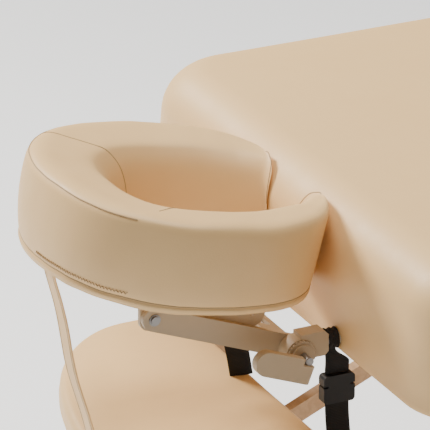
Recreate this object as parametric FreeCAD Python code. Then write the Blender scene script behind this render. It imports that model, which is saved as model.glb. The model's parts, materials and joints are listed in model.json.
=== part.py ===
"""Portable two-section massage table with a folding leg frame, a face cradle and a hanging arm shelf.

Lengths are millimetres. The model is laid out in a table frame whose origin is the middle of the head
end's top edge: +X runs from the head end to the foot end, +Y is the far side and +Z is up. place() then
shifts every piece to the kept frame, whose origin is on the floor under the middle of the bounding box.
"""
import FreeCAD, Part
import math
import os

V = FreeCAD.Vector

# Driving sizes of the table top
HALF_LENGTH = 920.0
WIDTH = 700.0
TOP_HEIGHT = 700.0
SIDE_DEPTH = 145.0
PAD_THICK = 58.0
DECK_THICK = 6.0
CORNER_R = 82.0
EDGE_R = 50.0
SKIN = 4.0
RAIL = 20.0
HALF_GAP = 0.4

# Legs and braces
LEG_PIVOT_X = 95.0
LEG_PIVOT_Z = -115.0
LEG_WIDE = 40.0
LEG_THICK = 26.0
LEG_SPLAY = 5.0
LEG_WOOD = 470.0
HEAD_LEG_Y = 296.0
FOOT_LEG_Y = 260.0
CROSSBAR_AT = 400.0
CROSSBAR_TALL = 50.0
CROSSBAR_THICK = 17.0
BOLT_R = 4.0
BOLT_FIT = 0.05
BRACE_LEG_AT = 300.0
BRACE_RAIL_AT = 700.0
BRACE_OFFSET = 12.0
BRACE_TALL = 20.0
BRACE_THICK = 14.0
BRACE_LOWER_Y = 226.0
BRACE_GAP = 0.6
GROOVE_WIDE = 20.0
GROOVE_DEEP = 9.0
GROOVE_LONG = 330.0
TONGUE_FIT = 0.3
TONGUE_LONG = 300.0
EXTENSION_GAP = 50.0
FOOT_TALL = 22.0
FOOT_WALL = 3.0
KNOB_AT = (255.0, 345.0)
KNOB_R = 15.0
KNOB_TALL = 19.0
KNOB_LOBES = 5

# Hinge between the two sections
HINGE_R = 3.0
HINGE_PIN_R = 1.5
HINGE_LONG = 180.0
HINGE_Y = 200.0
LEAF_TALL = 19.0
LEAF_THICK = 1.6
KNUCKLES = 6

# Face cradle
POLE_Y = 124.5
POLE_Z = -131.0
POLE_R = 8.0
POLE_INSERT = 165.0
POLE_FIT = 0.05
HUB = (-44.0, -138.0)
FRONT = (-193.0, -80.0)
LINK_Y = 108.5
LINK_THICK = 6.5
LINK_HALF = 12.0
BRACKET_HALF = 9.0
BRACKET_END = -14.0
DISC_R = 15.0
DISC_THICK = 2.6
TEETH = 24
LEVER_PIN_Y = 149.0
CAM_R = 8.0
LEVER_LONG = 47.0
LEVER_HALF = 12.5
LEVER_DROP = 10.0
PLATFORM_FRONT = -250.0
PLATFORM_REAR = -66.0
PLATFORM_HALF = 108.0
PLATE_THICK = 5.0
FLANGE_THICK = 5.5
PLATFORM_GAP = 0.5
CUSHION_X = -116.0
CUSHION_TILT = 7.5
CUSHION_A = 147.0
CUSHION_REAR_A = 104.0
CUSHION_B = 157.0
CUSHION_THICK = 88.0
CUSHION_TOP = 15.0
NOSE_R = 98.0
FACE_R = 45.0
FACE_X = -88.0
FACE_A = 80.0
FACE_B = 84.0
TIP_GAP = 38.0

# Arm shelf and its straps
SHELF_FRONT = -196.0
SHELF_WIDEST = -34.0
SHELF_REAR = 30.0
SHELF_HALF = 307.0
SHELF_TOP = -281.0
SHELF_PAD = 24.0
SHELF_BOARD = 9.0
WEB_WIDE = 26.0
WEB_THICK = 2.4
WEB_GATHERED = 11.0
BUCKLE = (34.0, 12.0, 30.0)
BUCKLE_TOP = -170.0
FRONT_STRAP_WIDE = 26.0
FRONT_STRAP_THICK = 2.0
STRAP_REACH = 10.0
STRAP_SLANT = 16.0

# The bounding box runs from the front strap to the foot end.
HEAD_REACH = CUSHION_A * math.cos(math.radians(CUSHION_TILT)) - CUSHION_X
TABLE_END = 2.0 * HALF_LENGTH
SHIFT = V((HEAD_REACH - TABLE_END) / 2.0, 0.0, TOP_HEIGHT)

SLOPE = math.atan2(FRONT[1] - HUB[1], HUB[0] - FRONT[0])
ALONG = (-math.cos(SLOPE), math.sin(SLOPE))
ACROSS = (math.sin(SLOPE), math.cos(SLOPE))


def box(x0, x1, y0, y1, z0, z1):
    """Return the box between two corners."""
    return Part.makeBox(x1 - x0, y1 - y0, z1 - z0, V(x0, y0, z0))


def rod_y(x, z, radius, y0, y1):
    """Return a round bar along Y."""
    return Part.makeCylinder(radius, y1 - y0, V(x, y0, z), V(0, 1, 0))


def rod_x(y, z, radius, x0, x1):
    """Return a round bar along X."""
    return Part.makeCylinder(radius, x1 - x0, V(x0, y, z), V(1, 0, 0))


def side_plate(points, y0, y1):
    """Return a plate with the outline points (x, z), from y0 to y1."""
    corners = [V(x, y0, z) for x, z in points]
    face = Part.Face(Part.makePolygon(corners + corners[:1]))
    return face.extrude(V(0, y1 - y0, 0))


def bar_between(a, b, half, y0, y1):
    """Return a flat bar with round ends between two points (x, z)."""
    length = math.dist(a, b)
    along = ((b[0] - a[0]) / length, (b[1] - a[1]) / length)
    over = (-along[1] * half, along[0] * half)
    corners = [(a[0] + over[0], a[1] + over[1]), (b[0] + over[0], b[1] + over[1]),
               (b[0] - over[0], b[1] - over[1]), (a[0] - over[0], a[1] - over[1])]
    bar = side_plate(corners, y0, y1)
    return bar.fuse([rod_y(a[0], a[1], half, y0, y1), rod_y(b[0], b[1], half, y0, y1)]).removeSplitter()


def edges_along(shape, axis, keep):
    """Return the straight edges along an axis whose middle passes the keep test."""
    found = []
    for edge in shape.Edges:
        ends = edge.Vertexes
        if len(ends) != 2 or edge.Curve.TypeId != "Part::GeomLine":
            continue
        run = ends[1].Point - ends[0].Point
        if abs(run.normalize().dot(axis)) > 0.999 and keep(edge.CenterOfMass):
            found.append(edge)
    return found


def mirror_y(shape):
    """Return the shape mirrored to the other side of the table."""
    return shape.mirror(V(0, 0, 0), V(0, 1, 0))


def to_foot(shape):
    """Return the shape turned half a turn about the vertical axis at the middle of the table."""
    turned = shape.copy()
    turned.rotate(V(HALF_LENGTH, 0, 0), V(0, 0, 1), 180)
    return turned


def sides(shape):
    """Return the near and far copies of a far-side shape as one group."""
    return Part.makeCompound([mirror_y(shape), shape])


def along_leg(distance, offset=0.0):
    """Return the point (x, z) at a distance down the head leg, offset towards the table's middle."""
    splay = math.radians(LEG_SPLAY)
    x = LEG_PIVOT_X - distance * math.sin(splay) + offset * math.cos(splay)
    z = LEG_PIVOT_Z - distance * math.cos(splay) - offset * math.sin(splay)
    return x, z


def half_block(inset, z0, z1):
    """Return the plan outline of a section, inset from its skin, between two heights."""
    block = box(inset, HALF_LENGTH - HALF_GAP - min(inset, SKIN), inset - WIDTH / 2, WIDTH / 2 - inset, z0, z1)
    corners = edges_along(block, V(0, 0, 1), lambda middle: middle.x < CORNER_R)
    return block.makeFillet(CORNER_R - inset, corners)


def pad():
    """Return the foam pad with its large rounded top edge."""
    block = half_block(0.0, -PAD_THICK, 0.0)
    rim = [edge for edge in block.Edges
           if edge.CenterOfMass.z > -0.01 and edge.CenterOfMass.x < HALF_LENGTH - 1.0]
    return block.makeFillet(EDGE_R, rim)


def side_wrap():
    """Return the upholstered band round the section, below the pad."""
    outer = half_block(0.0, -SIDE_DEPTH, -PAD_THICK)
    inner = half_block(SKIN, -SIDE_DEPTH, -PAD_THICK)
    return outer.cut(inner)


def deck():
    """Return the plywood deck that carries the pad."""
    return half_block(SKIN, -PAD_THICK - DECK_THICK, -PAD_THICK)


def rail_height():
    """Return the lower and upper height of the rails."""
    return -SIDE_DEPTH, -PAD_THICK - DECK_THICK


def end_rail():
    """Return the end rail with its two rounded corners."""
    z0, z1 = rail_height()
    outer = half_block(SKIN, z0, z1)
    inner = half_block(SKIN + RAIL, z0, z1)
    return outer.cut(inner).common(box(0, CORNER_R, -WIDTH, WIDTH, z0, z1))


def side_rail():
    """Return the far side rail."""
    z0, z1 = rail_height()
    x1 = HALF_LENGTH - SKIN - RAIL - HALF_GAP
    return box(CORNER_R, x1, WIDTH / 2 - SKIN - RAIL, WIDTH / 2 - SKIN, z0, z1)


def center_rail():
    """Return the rail at the hinge."""
    z0, z1 = rail_height()
    x1 = HALF_LENGTH - SKIN - HALF_GAP
    return box(x1 - RAIL, x1, SKIN - WIDTH / 2, WIDTH / 2 - SKIN, z0, z1)


def pole_holes(shape):
    """Return the shape with the two holes that the cradle's poles slide in."""
    reach = POLE_INSERT + RAIL
    holes = [rod_x(side * POLE_Y, POLE_Z, POLE_R + POLE_FIT, -SKIN, reach) for side in (-1, 1)]
    return shape.cut(holes)


def pole_guide():
    """Return the inner cross rail that steadies the cradle's poles, notched over the folded legs."""
    z0, z1 = rail_height()
    inner = WIDTH / 2 - SKIN - RAIL
    guide = box(POLE_INSERT - 2 * RAIL, POLE_INSERT - RAIL, -inner, inner, z0, z1)
    gap = box(0, POLE_INSERT, POLE_Y + RAIL, inner, z0, z1 - RAIL)
    return guide.cut([gap, mirror_y(gap)])


def brace_rail_point():
    """Return the rail pivot (x, z) of the head braces."""
    return LEG_PIVOT_X + BRACE_RAIL_AT, LEG_PIVOT_Z + BRACE_OFFSET


def brace_points():
    """Return the leg, knee and rail points (x, z) of the head braces when they are straight.

    Folded flat, the upper bar less the lower bar spans the two pivots, so both lengths follow from the
    straight distance and the folded distance.
    """
    low = along_leg(BRACE_LEG_AT, BRACE_OFFSET)
    high = brace_rail_point()
    straight = math.dist(low, high)
    folded = BRACE_RAIL_AT - BRACE_LEG_AT
    share = (straight + folded) / 2 / straight
    knee = (high[0] + (low[0] - high[0]) * share, high[1] + (low[1] - high[1]) * share)
    return low, knee, high


def leg_strip(start, end, low, high, y0, y1):
    """Return a bar along the leg's line between two distances and two offsets."""
    corners = [along_leg(start, low), along_leg(end, low), along_leg(end, high), along_leg(start, high)]
    return side_plate(corners, y0, y1)


def leg_reach():
    """Return the distance from the leg's pivot to the floor along its centre line."""
    return (TOP_HEIGHT + LEG_PIVOT_Z) / math.cos(math.radians(LEG_SPLAY))


def leg(y0):
    """Return one wooden leg with its bolt hole, its knob holes and the groove for its extension."""
    y1 = y0 + LEG_THICK
    half = LEG_WIDE / 2
    pivot = along_leg(0.0)
    bar = rod_y(*pivot, half, y0, y1).fuse(leg_strip(0.0, LEG_WOOD, -half, half, y0, y1)).removeSplitter()
    holes = [rod_y(*along_leg(at), BOLT_R + BOLT_FIT, y0, y1) for at in (0.0, *KNOB_AT)]
    holes.append(rod_y(*along_leg(BRACE_LEG_AT, BRACE_OFFSET), BOLT_R, y0, y1 - GROOVE_DEEP))
    groove = leg_strip(LEG_WOOD - GROOVE_LONG, LEG_WOOD, -GROOVE_WIDE / 2, GROOVE_WIDE / 2, y1 - GROOVE_DEEP, y1)
    return bar.cut(holes).cut(groove)


def leg_crossbar(y0):
    """Return the crossbar that joins a pair of legs, on the outer half of their width."""
    low = -LEG_WIDE / 2
    return leg_strip(CROSSBAR_AT - CROSSBAR_TALL / 2, CROSSBAR_AT + CROSSBAR_TALL / 2, low, low + CROSSBAR_THICK,
                     -y0, y0)


def leg_extension(y0):
    """Return one sliding leg extension: a tongue in the leg's groove above a full-width block."""
    y1 = y0 + LEG_THICK
    half = LEG_WIDE / 2
    start = LEG_WOOD + EXTENSION_GAP
    narrow = GROOVE_WIDE / 2 - TONGUE_FIT
    block = leg_strip(start, leg_reach() - FOOT_TALL / 2, -half, half, y0, y1)
    tongue = leg_strip(start - TONGUE_LONG, start, -narrow, narrow, y1 - GROOVE_DEEP + TONGUE_FIT, y1 - TONGUE_FIT)
    return block.fuse(tongue).removeSplitter()


def rubber_foot(y0):
    """Return the rubber shoe under one leg, flat on the floor and hollow for the wood."""
    reach = leg_reach()
    half = LEG_WIDE / 2
    outer = leg_strip(reach - FOOT_TALL, reach + FOOT_TALL, -half - FOOT_WALL, half + FOOT_WALL,
                      y0 - FOOT_WALL, y0 + LEG_THICK + FOOT_WALL)
    outer = outer.common(box(-WIDTH, WIDTH, -WIDTH, WIDTH, -TOP_HEIGHT, 0))
    wood = leg_strip(reach - 2 * FOOT_TALL, reach - FOOT_TALL / 2, -half, half, y0, y0 + LEG_THICK)
    return outer.cut(wood)


def knob(x, z, y0):
    """Return one lobed clamping knob on the inner face of a leg, with its stud."""
    step_y = y0 - KNOB_TALL / 4
    body = rod_y(x, z, KNOB_R * 0.8, y0 - KNOB_TALL, step_y)
    collar = rod_y(x, z, KNOB_R * 0.6, step_y, y0)
    stud = rod_y(x, z, BOLT_R, y0, y0 + LEG_THICK - GROOVE_DEEP)
    lobes = []
    for index in range(KNOB_LOBES):
        turn = 2 * math.pi * index / KNOB_LOBES
        lobe = (x + KNOB_R * 0.72 * math.cos(turn), z + KNOB_R * 0.72 * math.sin(turn))
        lobes.append(rod_y(*lobe, KNOB_R * 0.28, y0 - KNOB_TALL, step_y))
    return body.fuse([collar, stud] + lobes).removeSplitter()


def leg_knobs(y0):
    """Return the knobs of a pair of legs."""
    return Part.makeCompound([sides(knob(*along_leg(at), y0)) for at in KNOB_AT])


def leg_fittings(y0):
    """Return the bolts on a pair of legs that face the open holes of the lower braces."""
    start = BRACE_LOWER_Y + BRACE_THICK + BRACE_GAP
    return sides(rod_y(*along_leg(BRACE_LEG_AT, BRACE_OFFSET), BOLT_R, start, y0 + LEG_THICK - GROOVE_DEEP))


def brace_upper_side():
    """Return the Y of the upper braces' inner faces."""
    return BRACE_LOWER_Y - BRACE_GAP - BRACE_THICK


def rail_bolts(y0):
    """Return the leg bolts and the brace bolts that a section's side rails hold."""
    rail = WIDTH / 2 - SKIN - RAIL
    bolts = []
    for point, start in ((along_leg(0.0), y0), (brace_rail_point(), brace_upper_side())):
        shank = rod_y(*point, BOLT_R, start, rail)
        cap = rod_y(*point, BOLT_R * 2, start - BOLT_R, start)
        bolts.append(sides(shank.fuse(cap).removeSplitter()))
    return Part.makeCompound(bolts)


def brace_upper():
    """Return the far upper brace bar with its rail hole and its knee pin."""
    low, knee, high = brace_points()
    y0 = brace_upper_side()
    y1 = y0 + BRACE_THICK
    bar = bar_between(knee, high, BRACE_TALL / 2, y0, y1)
    bar = bar.cut(rod_y(*high, BOLT_R + BOLT_FIT, y0, y1))
    return bar.fuse(rod_y(*knee, BOLT_R, y1, y1 + BRACE_GAP + BRACE_THICK)).removeSplitter()


def brace_lower():
    """Return the far lower brace bar, with its knee hole and the open hole at its leg end."""
    low, knee, high = brace_points()
    y0 = BRACE_LOWER_Y
    y1 = y0 + BRACE_THICK
    bar = bar_between(low, knee, BRACE_TALL / 2, y0, y1)
    return bar.cut([rod_y(*knee, BOLT_R + BOLT_FIT, y0, y1), rod_y(*low, BOLT_R + BOLT_FIT, y0, y1)])


def hinge_leaf(direction):
    """Return one far hinge leaf with its share of the knuckles; direction is -1 for the head section."""
    face = HALF_LENGTH + direction * (HINGE_R + 2 * HALF_GAP)
    x0, x1 = sorted((face, face + direction * LEAF_TALL))
    y0 = HINGE_Y - HINGE_LONG / 2
    step = HINGE_LONG / KNUCKLES
    plate = box(x0, x1, y0, y0 + HINGE_LONG, -SIDE_DEPTH, -SIDE_DEPTH + LEAF_THICK)
    web0, web1 = sorted((HALF_LENGTH, face))
    pieces = []
    for index in range(KNUCKLES):
        if (index % 2 == 0) == (direction < 0):
            start = y0 + index * step + HALF_GAP
            end = start + step - 2 * HALF_GAP
            pieces.append(rod_y(HALF_LENGTH, -SIDE_DEPTH, HINGE_R, start, end))
            pieces.append(box(web0, web1, start, end, -SIDE_DEPTH, -SIDE_DEPTH + LEAF_THICK))
    leaf = plate.fuse(pieces).removeSplitter()
    return leaf.cut(rod_y(HALF_LENGTH, -SIDE_DEPTH, HINGE_PIN_R + BOLT_FIT, y0, y0 + HINGE_LONG))


def hinge_pin():
    """Return the far hinge pin."""
    y0 = HINGE_Y - HINGE_LONG / 2
    return rod_y(HALF_LENGTH, -SIDE_DEPTH, HINGE_PIN_R, y0, y0 + HINGE_LONG)


def hinge_recess(shape):
    """Return a rail or wrap relieved round the hinge knuckles and let in for the leaves."""
    reach = HINGE_R + 2 * HALF_GAP
    y0 = HINGE_Y - HINGE_LONG / 2
    slot = box(HALF_LENGTH - reach, HALF_LENGTH, y0, y0 + HINGE_LONG, -SIDE_DEPTH, -SIDE_DEPTH + reach)
    seat = box(HALF_LENGTH - reach - LEAF_TALL, HALF_LENGTH, y0, y0 + HINGE_LONG, -SIDE_DEPTH, -SIDE_DEPTH + LEAF_THICK)
    return shape.cut([slot, mirror_y(slot), seat, mirror_y(seat)])


def hub_point(along, across):
    """Return the point (x, z) at a distance up the link bar from the hub and square to it."""
    return HUB[0] + along * ALONG[0] + across * ACROSS[0], HUB[1] + along * ALONG[1] + across * ACROSS[1]


def link_plate(start, end, low, high, y0, y1):
    """Return a plate square to the link bar, between two distances and two offsets."""
    corners = [hub_point(start, low), hub_point(end, low), hub_point(end, high), hub_point(start, high)]
    return side_plate(corners, y0, y1)


def across_rod(along, across, y, radius, length):
    """Return a round bar that starts at a point beside the link bar and runs square to it."""
    x, z = hub_point(along, across)
    return Part.makeCylinder(radius, length, V(x, y, z), V(ACROSS[0], 0, ACROSS[1]))


def pole():
    """Return the far pole of the cradle."""
    return rod_x(POLE_Y, POLE_Z, POLE_R, HUB[0] + 2 * BOLT_R, POLE_INSERT)


def hub_bracket():
    """Return the far hub bracket: a round hub and a chamfered socket that holds the pole."""
    y0 = POLE_Y - BRACKET_HALF
    y1 = POLE_Y + BRACKET_HALF
    half = DISC_R - 2.0
    chamfer = 4.0
    top = POLE_Z + half
    low = POLE_Z - half
    outline = [(HUB[0], low), (BRACKET_END - chamfer, low), (BRACKET_END, low + chamfer),
               (BRACKET_END, top - chamfer), (BRACKET_END - chamfer, top), (HUB[0], top)]
    body = side_plate(outline, y0, y1).fuse(rod_y(*HUB, DISC_R + 1.0, y0, y1)).removeSplitter()
    clear = rod_y(*HUB, BOLT_R, y0, y1)
    return body.cut([clear, pole()])


def toothed_disc():
    """Return the far toothed clamp disc on the outside of the bracket."""
    y0 = POLE_Y + BRACKET_HALF
    middle = y0 + DISC_THICK
    y1 = middle + DISC_THICK
    disc = rod_y(*HUB, DISC_R, y0, middle).fuse(rod_y(*HUB, DISC_R * 0.75, middle, y1)).removeSplitter()
    notches = []
    for index in range(TEETH):
        turn = 2 * math.pi * index / TEETH
        at = (HUB[0] + DISC_R * math.cos(turn), HUB[1] + DISC_R * math.sin(turn))
        notches.append(rod_y(*at, DISC_R / 15, y0, middle))
    return disc.cut(notches).cut(rod_y(*HUB, BOLT_R, y0, y1))


def clamp_bolt():
    """Return the far clamp bolt, from its head inside the link bar to the cross pin in the cam lever."""
    head = rod_y(*HUB, BOLT_R * 1.6, LINK_Y - BOLT_R, LINK_Y - TONGUE_FIT)
    shank = rod_y(*HUB, BOLT_R, LINK_Y - TONGUE_FIT, LEVER_PIN_Y + BOLT_R)
    pin = across_rod(0.0, -LEVER_DROP - LEVER_HALF, LEVER_PIN_Y, BOLT_R / 2, 2 * LEVER_HALF)
    return head.fuse([shank, pin]).removeSplitter()


def cam_lever():
    """Return the far cam lever: a round cam on the cross pin and a thin handle with a round end."""
    low = -LEVER_DROP - LEVER_HALF
    cam = across_rod(0.0, low, LEVER_PIN_Y, CAM_R, 2 * LEVER_HALF)
    y0 = LEVER_PIN_Y - CAM_R / 4
    y1 = LEVER_PIN_Y + CAM_R
    tip = hub_point(LEVER_LONG, -LEVER_DROP)
    handle = link_plate(0.0, LEVER_LONG, low, low + 2 * LEVER_HALF, y0, y1)
    body = cam.fuse([handle, rod_y(*tip, LEVER_HALF, y0, y1)]).removeSplitter()
    hole = across_rod(0.0, low - 1.0, LEVER_PIN_Y, BOLT_R / 2 + BOLT_FIT, 2 * LEVER_HALF + 2.0)
    slot_half = BOLT_R + TONGUE_FIT
    slot = link_plate(-2 * CAM_R, CAM_R, -slot_half, slot_half, LEVER_PIN_Y - 2 * CAM_R, LEVER_PIN_Y + 2 * CAM_R)
    return body.cut([hole, slot])


def link_bar():
    """Return the far link bar from the hub to the front screw."""
    y1 = LINK_Y + LINK_THICK
    bar = bar_between(HUB, FRONT, LINK_HALF, LINK_Y, y1)
    return bar.cut([rod_y(*HUB, BOLT_R + BOLT_FIT, LINK_Y, y1), rod_y(*FRONT, BOLT_R + BOLT_FIT, LINK_Y, y1)])


def link_crossbar():
    """Return the flat crossbar between the link bars, with a long hole near each end."""
    near, far = 10.0, 38.0
    plate = link_plate(near, far, LINK_HALF - 4.0, LINK_HALF, -LINK_Y, LINK_Y)
    middle = (near + far) / 2
    half = 5.0
    slots = []
    for center in (24.0 - LINK_Y, LINK_Y - 24.0):
        ends = [across_rod(middle, 0.0, center + step, half, 2 * LINK_HALF) for step in (-half, half)]
        slot = link_plate(middle - half, middle + half, 0.0, 2 * LINK_HALF, center - half, center + half)
        slots.append(slot.fuse(ends).removeSplitter())
    return plate.cut(slots)


def platform_screw():
    """Return the far front screw with its round head and washer outside the link bar."""
    y1 = LINK_Y + LINK_THICK
    shank = rod_y(*FRONT, BOLT_R, PLATFORM_HALF - FLANGE_THICK, y1 + TONGUE_FIT)
    washer = rod_y(*FRONT, BOLT_R * 1.5, y1 + TONGUE_FIT, y1 + 1.2)
    head = rod_y(*FRONT, BOLT_R * 1.1, y1 + 1.2, y1 + 3.2)
    return shank.fuse([washer, head]).removeSplitter()


def under_cushion(x, rise=0.0):
    """Return the height of the cushion's underside at x, plus a rise."""
    return CUSHION_TOP - CUSHION_THICK - (x - CUSHION_X) * math.tan(math.radians(CUSHION_TILT)) + rise


def platform():
    """Return the cradle's platform: a plate under the cushion with a deep flange on each side."""
    front, rear, y1 = PLATFORM_FRONT, PLATFORM_REAR, PLATFORM_HALF
    top, low = -PLATFORM_GAP, -PLATFORM_GAP - PLATE_THICK
    outline = [(front, under_cushion(front, top)), (rear, under_cushion(rear, top)),
               (rear, under_cushion(rear, low)), (front, under_cushion(front, low))]
    plan = box(front, rear, -y1, y1, -SIDE_DEPTH, 0.0)
    plan = plan.makeFillet(NOSE_R, edges_along(plan, V(0, 0, 1), lambda middle: middle.x < front + 1.0))
    face = box(FRONT[0] + FACE_R / 2, rear + 1.0, TONGUE_FIT - FACE_B, FACE_B - TONGUE_FIT, -SIDE_DEPTH, 0.0)
    face = face.makeFillet(FACE_R, edges_along(face, V(0, 0, 1), lambda middle: middle.x < rear - FACE_R))
    plate = side_plate(outline, -y1, y1).common(plan).cut(face)
    start = FRONT[0] - LINK_HALF
    end = rear - 5.0
    depth = FRONT[1] - 33.0
    flange = side_plate([(start, under_cushion(start, top)), (end, under_cushion(end, top)), (end, depth),
                         (start, FRONT[1] - LINK_HALF)], y1 - FLANGE_THICK, y1)
    flange = flange.makeFillet(14.0, edges_along(flange, V(0, 1, 0), lambda m: m.z < depth + 1.0))
    flange = flange.makeFillet(9.0, edges_along(flange, V(0, 1, 0), lambda m: m.x < start + 1.0 and m.z < FRONT[1]))
    small = rod_y(end - 14.0, depth + 17.0, BOLT_R * 0.8, y1 - FLANGE_THICK, y1)
    flange = flange.cut([small, rod_y(*FRONT, BOLT_R, y1 - FLANGE_THICK, y1)])
    return plate.fuse([flange, mirror_y(flange)]).removeSplitter()


def ring_wire(middle, front, rear, b, z):
    """Return a closed oval about a middle X, squarer than an ellipse, with its own reach each way."""
    square = 0.36
    count = 32
    points = []
    for index in range(count):
        turn = 2 * math.pi * index / count
        power = 1.0 - square
        reach = rear if math.cos(turn) > 0 else front
        x = reach * math.copysign(abs(math.cos(turn)) ** power, math.cos(turn))
        y = b * math.copysign(abs(math.sin(turn)) ** power, math.sin(turn))
        points.append(V(middle + x, y, z))
    curve = Part.BSplineCurve()
    curve.interpolate(points, PeriodicFlag=True)
    return Part.Wire(curve.toShape())


def face_cushion():
    """Return the horseshoe face cushion, open towards the table and tilted up at the forehead."""
    low = CUSHION_TOP - CUSHION_THICK
    outline = ring_wire(CUSHION_X, CUSHION_A, CUSHION_REAR_A, CUSHION_B, low)
    body = Part.Face(outline).extrude(V(0, 0, CUSHION_THICK))
    rims = [edge for edge in body.Edges if abs(edge.BoundBox.ZLength) < 0.01]
    body = body.makeFillet(16.0, rims)
    hole = Part.Face(ring_wire(FACE_X, FACE_A, FACE_A, FACE_B, low - 1.0)).extrude(V(0, 0, CUSHION_THICK + 2.0))
    gap = box(CUSHION_X, CUSHION_X + 2 * CUSHION_A, -TIP_GAP, TIP_GAP, low - 1.0, CUSHION_TOP + 1.0)
    body = body.cut([hole, gap])
    body.rotate(V(CUSHION_X, 0, low), V(0, 1, 0), CUSHION_TILT)
    return body


def shelf_layer(z0, z1, inset):
    """Return the arm shelf's plan between two heights: a half oval in front and small rounded rear corners."""
    half = SHELF_HALF - inset
    nose = SHELF_WIDEST - SHELF_FRONT - inset
    oval = Part.Ellipse(V(SHELF_WIDEST, half, z0), V(SHELF_WIDEST - nose, 0, z0), V(SHELF_WIDEST, 0, z0))
    front = Part.Face(Part.Wire(oval.toShape())).extrude(V(0, 0, z1 - z0))
    front = front.common(box(SHELF_FRONT, SHELF_WIDEST, -SHELF_HALF, SHELF_HALF, z0, z1))
    rear = box(SHELF_WIDEST, SHELF_REAR - inset, -half, half, z0, z1)
    plan = front.fuse(rear).removeSplitter()
    return plan.makeFillet(12.0, edges_along(plan, V(0, 0, 1), lambda m: m.x > SHELF_REAR - 5.0))


def arm_pad():
    """Return the padded top of the arm shelf."""
    layer = shelf_layer(SHELF_TOP - SHELF_PAD, SHELF_TOP, 0.0)
    return layer.makeFillet(8.0, [edge for edge in layer.Edges if edge.CenterOfMass.z > SHELF_TOP - 0.01])


def arm_board():
    """Return the board under the arm shelf's pad."""
    return shelf_layer(SHELF_TOP - SHELF_PAD - SHELF_BOARD, SHELF_TOP - SHELF_PAD, 3.0)


def web_middle():
    """Return the X of the arm straps' middle."""
    return BRACKET_END + 1.0 + WEB_WIDE / 2


def arm_strap():
    """Return the far arm strap: a gathered loop on the pole, a widening tail and a straight lower run."""
    x0 = BRACKET_END + 1.0
    gathered = x0 + WEB_GATHERED
    x1 = x0 + WEB_WIDE
    inner = POLE_R + BOLT_FIT
    y0, y1 = POLE_Y - WEB_THICK, POLE_Y + WEB_THICK
    loop = rod_x(POLE_Y, POLE_Z, inner + WEB_THICK, x0, gathered)
    start = POLE_Z - inner - WEB_THICK / 2
    wide_at = start - WEB_WIDE * 0.7
    outline = [(x0, start), (gathered, start), (gathered, -SIDE_DEPTH - 1.0), (x1, wide_at), (x1, BUCKLE_TOP),
               (x0, BUCKLE_TOP)]
    tail = side_plate(outline, y0, y1)
    upper = loop.fuse(tail).cut(rod_x(POLE_Y, POLE_Z, inner, x0, gathered)).removeSplitter()
    buckle_low = BUCKLE_TOP - BUCKLE[2]
    end = SHELF_TOP + 1.0
    run = [(x0, buckle_low), (x1, buckle_low), (x1 + STRAP_SLANT, end), (x0 + STRAP_SLANT, end)]
    lower = side_plate(run, y0 + WEB_THICK / 2, y1 - WEB_THICK / 2)
    return Part.makeCompound([upper, lower])


def strap_buckle():
    """Return the far side-release buckle: a body and a plug with a shadow gap round its latch."""
    middle = web_middle()
    long_x, deep, tall = BUCKLE
    half = long_x / 2
    y0, y1 = POLE_Y - deep / 2, POLE_Y + deep / 2
    body = box(middle - half, middle + half, y0, y1, BUCKLE_TOP - tall, BUCKLE_TOP)
    body = body.makeFillet(4.0, edges_along(body, V(0, 1, 0), lambda m: True))
    waist = half - 2.5
    grip = BUCKLE_TOP - tall * 0.42
    notches = [box(x0, x0 + 5.0, y0, y1, grip, grip + 2.0) for x0 in (middle - half, middle + waist - 2.5)]
    return body.cut(notches)


def front_strap():
    """Return the strap from the platform's nose to the front of the arm shelf."""
    half = FRONT_STRAP_WIDE / 2
    top = (PLATFORM_FRONT - 1.0, under_cushion(PLATFORM_FRONT, -1.0))
    low_x = SHELF_FRONT - STRAP_REACH
    low = SHELF_TOP - SHELF_PAD
    thick = FRONT_STRAP_THICK
    clear = top[1] - 2 * PLATE_THICK
    outline = [top, (top[0], clear), (low_x, SHELF_TOP + 10.0), (low_x, low), (low_x - thick, low),
               (low_x - thick, SHELF_TOP + 10.0), (top[0] - thick, clear), (top[0] - thick, top[1])]
    return side_plate(outline, -half, half)


def head_shapes():
    """Return the nodes of the head section."""
    return {
        "head_pad": pad(),
        "head_side_wrap": hinge_recess(pole_holes(side_wrap())),
        "head_deck": deck(),
        "head_rail_near": mirror_y(side_rail()),
        "head_rail_far": side_rail(),
        "head_end_rail": pole_holes(end_rail()),
        "head_center_rail": hinge_recess(center_rail()),
        "head_pole_guide": pole_holes(pole_guide()),
        "head_hinge_leaves": sides(hinge_leaf(-1)),
        "hinge_pins": sides(hinge_pin()),
        "head_rail_bolts": rail_bolts(HEAD_LEG_Y),
    }


def foot_shapes():
    """Return the nodes of the foot section."""
    return {
        "foot_pad": to_foot(pad()),
        "foot_side_wrap": to_foot(hinge_recess(side_wrap())),
        "foot_deck": to_foot(deck()),
        "foot_rail_near": to_foot(side_rail()),
        "foot_rail_far": to_foot(mirror_y(side_rail())),
        "foot_end_rail": to_foot(end_rail()),
        "foot_center_rail": to_foot(hinge_recess(center_rail())),
        "foot_hinge_leaves": sides(hinge_leaf(1)),
        "foot_rail_bolts": to_foot(rail_bolts(FOOT_LEG_Y)),
    }


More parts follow.
